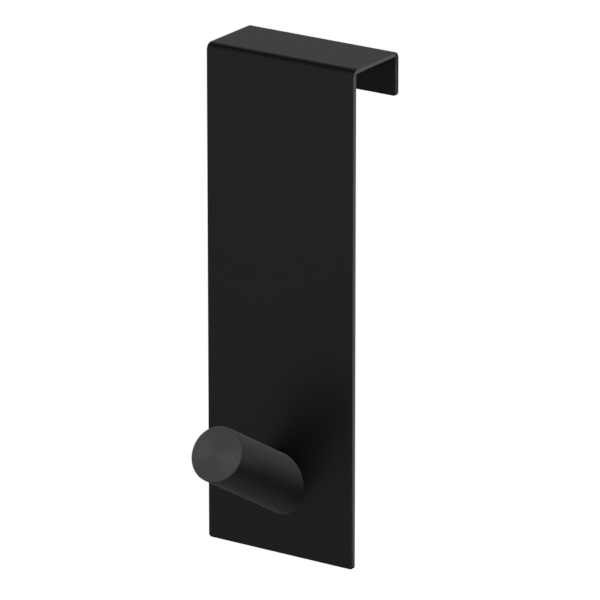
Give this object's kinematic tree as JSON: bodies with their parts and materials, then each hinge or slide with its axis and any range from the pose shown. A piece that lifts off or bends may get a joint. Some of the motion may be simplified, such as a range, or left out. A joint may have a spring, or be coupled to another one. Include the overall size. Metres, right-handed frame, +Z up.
{
  "type": "over door hook",
  "caption": "Flat strip folded over a door's top edge, with a rear lip and one slanted round peg near its lower end, screwed on from behind.",
  "frame": {"origin": "middle of the underside of the top fold, where it sits on the door's top edge", "axes": "+Z up, -Y out of the door into the room on the peg's side, +X along the door's top edge"},
  "size_m": [0.05, 0.0599, 0.15],
  "materials": {
    "plate_coat": "matt black powder coat on steel sheet",
    "peg_coat": "matt black coat on a turned steel bar",
    "screw_steel": "plain stainless steel, turned heads"
  },
  "bodies": {
    "root": {"door_plate": "plate_coat", "hook_peg": "peg_coat", "peg_screws": "screw_steel"}
  },
  "joints": []
}
